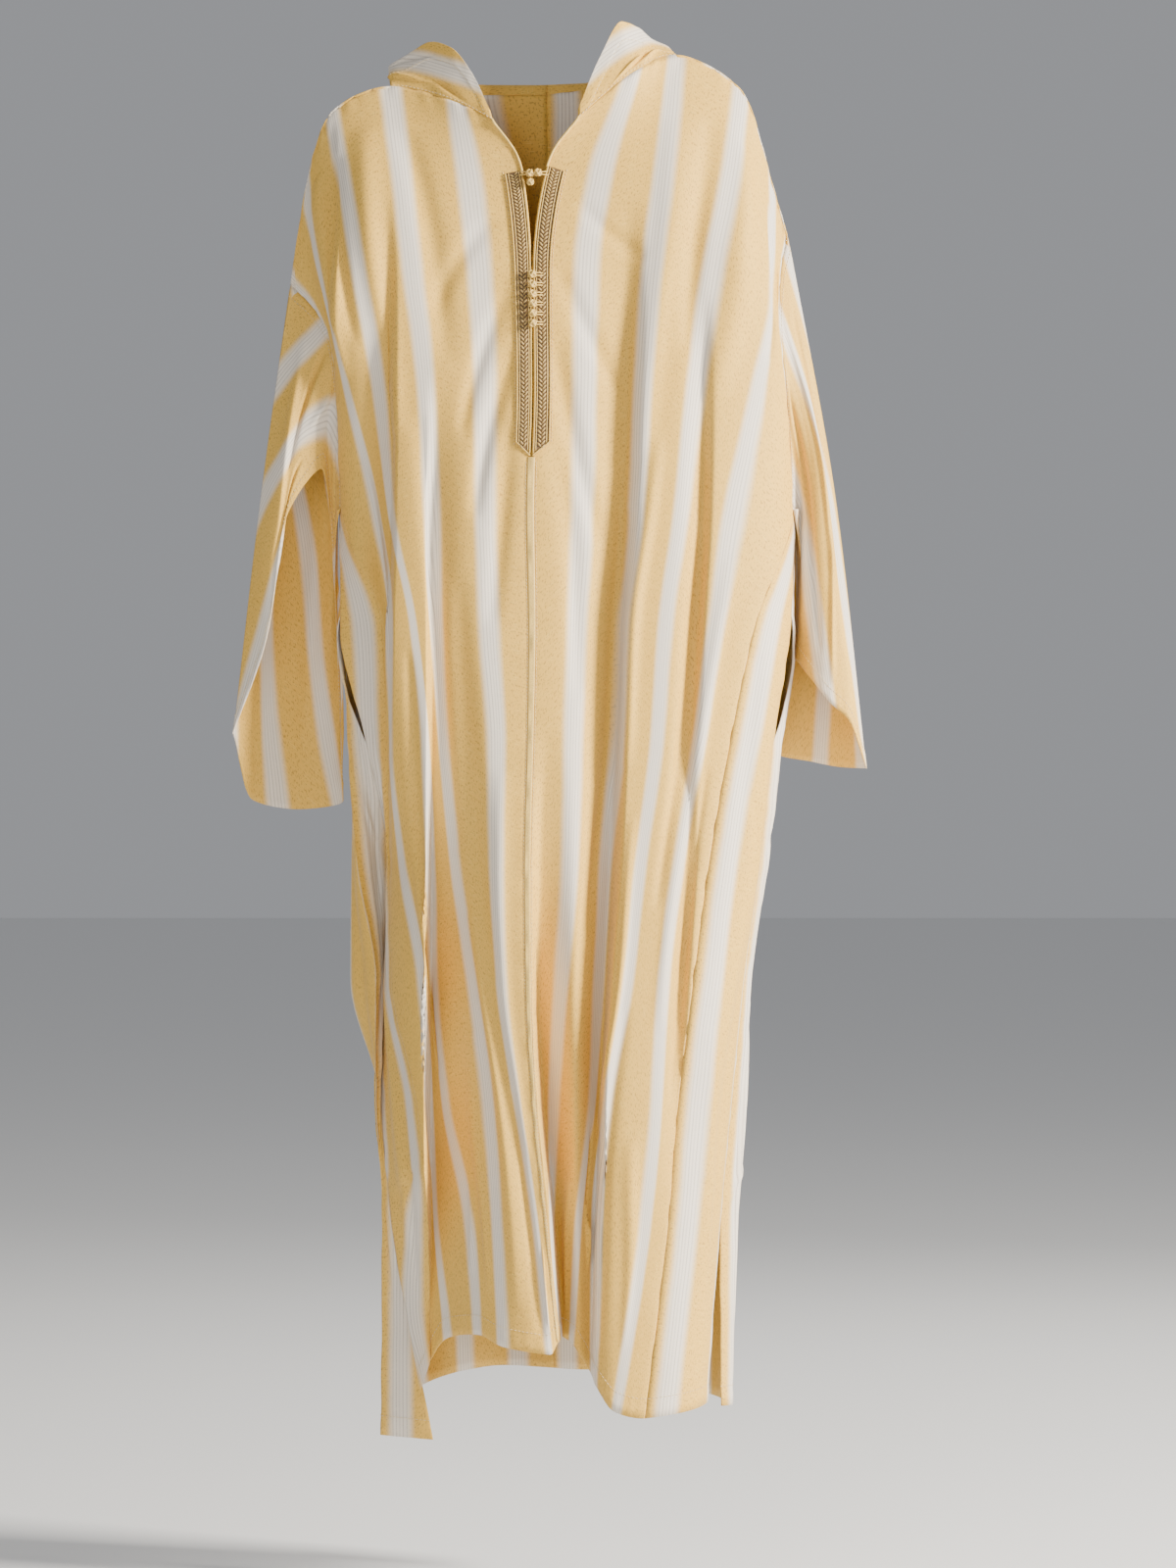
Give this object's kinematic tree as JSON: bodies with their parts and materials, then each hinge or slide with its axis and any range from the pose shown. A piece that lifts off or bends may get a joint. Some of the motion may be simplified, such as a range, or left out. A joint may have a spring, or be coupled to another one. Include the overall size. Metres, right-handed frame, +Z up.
{
  "type": "hooded robe",
  "caption": "Long hooded robe in striped cloth, hung hollow and open at neck, cuffs and hem, with wide sleeves, a braided front opening and knot buttons",
  "frame": {"origin": "middle of the shoulder line, where the robe is held up", "axes": "+Z up, -Y towards the front of the robe, +X towards the wearer's left sleeve"},
  "size_m": [0.6458, 0.2251, 1.4436],
  "materials": {
    "striped_cloth": "flecked slub cloth with woven stripes, a slight sheen",
    "braid": "flat plaited braid with corded edges",
    "cord": "knotted twisted cord"
  },
  "bodies": {
    "root": {"front_right": "striped_cloth", "back_right": "striped_cloth", "front_gore_right": "striped_cloth", "back_gore_right": "striped_cloth", "sleeve_right": "striped_cloth", "hood_right": "striped_cloth", "front_left": "striped_cloth", "back_left": "striped_cloth", "front_gore_left": "striped_cloth", "back_gore_left": "striped_cloth", "sleeve_left": "striped_cloth", "hood_left": "striped_cloth", "centre_piping": "striped_cloth", "braid_band_right": "braid", "braid_band_left": "braid", "knot_1": "cord", "knot_2": "cord", "knot_3": "cord", "knot_4": "cord", "knot_5": "cord", "knot_6": "cord", "neck_closure": "cord", "neck_closure_knot": "cord"}
  },
  "joints": []
}
